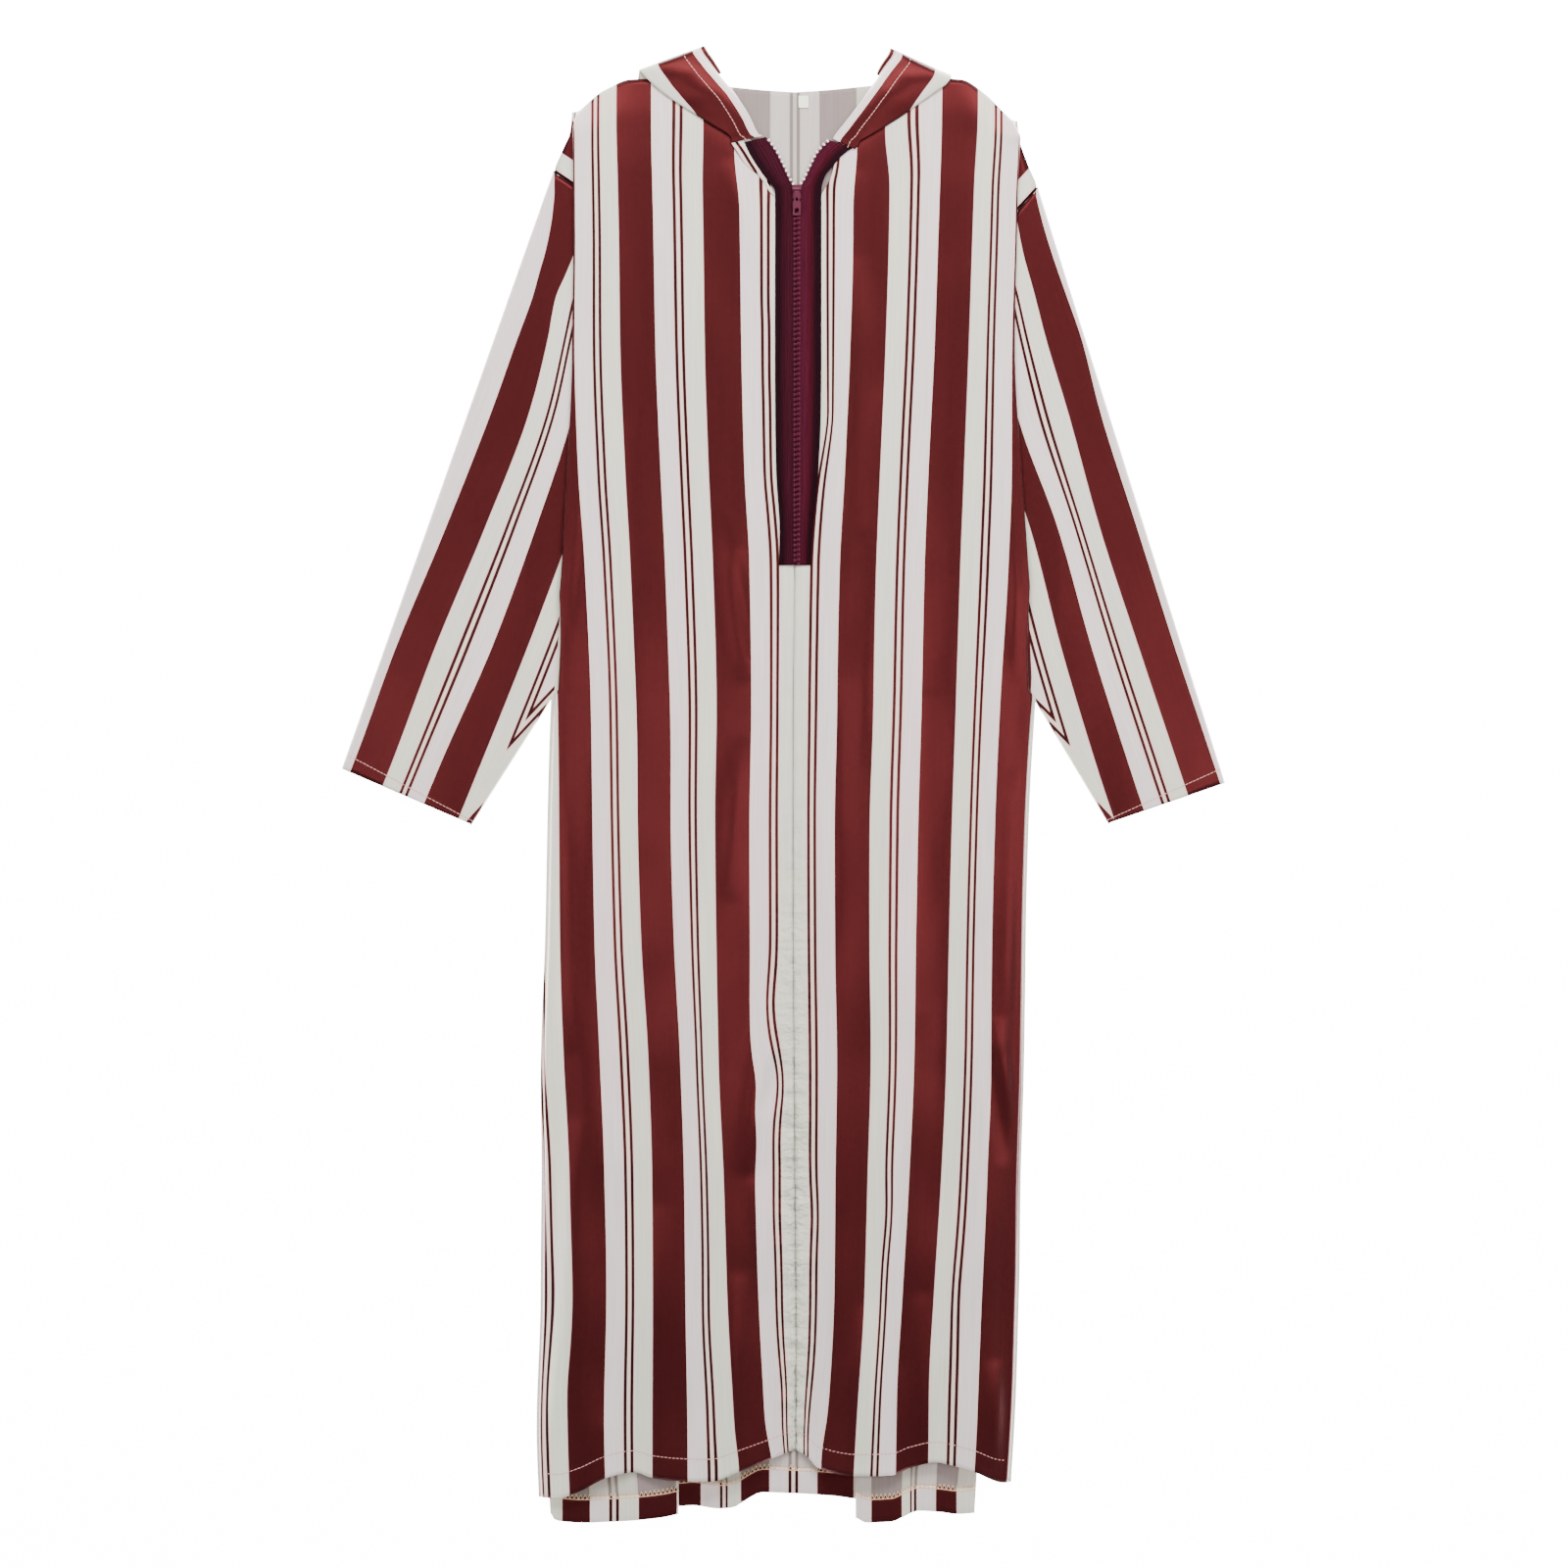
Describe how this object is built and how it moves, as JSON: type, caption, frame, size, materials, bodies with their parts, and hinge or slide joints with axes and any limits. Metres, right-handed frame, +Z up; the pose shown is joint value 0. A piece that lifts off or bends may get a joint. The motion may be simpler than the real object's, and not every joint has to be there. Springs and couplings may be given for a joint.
{
  "type": "hooded robe",
  "caption": "Ankle-length hooded robe of wide striped cloth with long sleeves and a front zip, laid flat with its front up.",
  "frame": {"origin": "on the surface that the robe lies on, in the middle of its box", "axes": "+X to the right of the picture, +Y from the hem towards the hood, +Z up from the surface through back and front"},
  "size_m": [0.8116, 1.3532, 0.0213],
  "materials": {
    "striped_satin": "soft satin with wide red and off-white stripes",
    "wine_tape": "ribbed woven tape, dark wine",
    "wine_resin": "moulded resin teeth",
    "slider_paint": "painted wine, satin",
    "label_cloth": "plain woven ribbon, blank"
  },
  "bodies": {
    "robe": {"front_left": "striped_satin", "front_right": "striped_satin", "back": "striped_satin", "sleeve_left": "striped_satin", "sleeve_right": "striped_satin", "hood_left": "striped_satin", "hood_right": "striped_satin", "placket_left": "wine_tape", "placket_right": "wine_tape", "zip_teeth_left": "wine_resin", "zip_teeth_right": "wine_resin", "zip_slider": "slider_paint", "neck_label": "label_cloth"},
    "pull_tab": {"zip_tab": "slider_paint"}
  },
  "joints": [
    {"name": "tab_hinge", "type": "hinge", "parent": "robe", "child": "pull_tab", "pos_m": [0.0123, 0.54535, 0.0137], "axis": [-1, 0, 0], "range_deg": [0, 150]}
  ]
}
